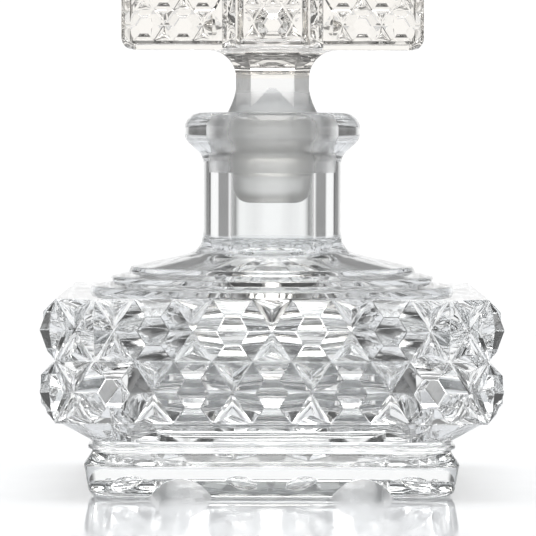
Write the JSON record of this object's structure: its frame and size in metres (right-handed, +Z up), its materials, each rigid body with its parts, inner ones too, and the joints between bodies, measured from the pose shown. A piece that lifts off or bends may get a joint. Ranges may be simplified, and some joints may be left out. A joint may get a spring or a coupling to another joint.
{
  "type": "perfume bottle",
  "caption": "Square pressed-glass scent bottle with a faceted band, a stepped round shoulder and a lift-out ground stopper with a cross-shaped head.",
  "frame": {"origin": "centre of the plane the foot stands on", "axes": "+Z up along the neck, -Y out of the front side; the four sides are alike"},
  "size_m": [0.0888, 0.0888, 0.1083],
  "materials": {
    "bottle_glass": "fire-polished pressed glass",
    "stopper_glass": "fire-polished pressed glass with a ground plug"
  },
  "bodies": {
    "bottle": {"bottle": "bottle_glass"},
    "stopper": {"stopper": "stopper_glass"}
  },
  "joints": [
    {"name": "stopper_lift", "type": "slide", "parent": "bottle", "child": "stopper", "axis": [0, 0, 1], "range_m": [0, 0.03]}
  ]
}
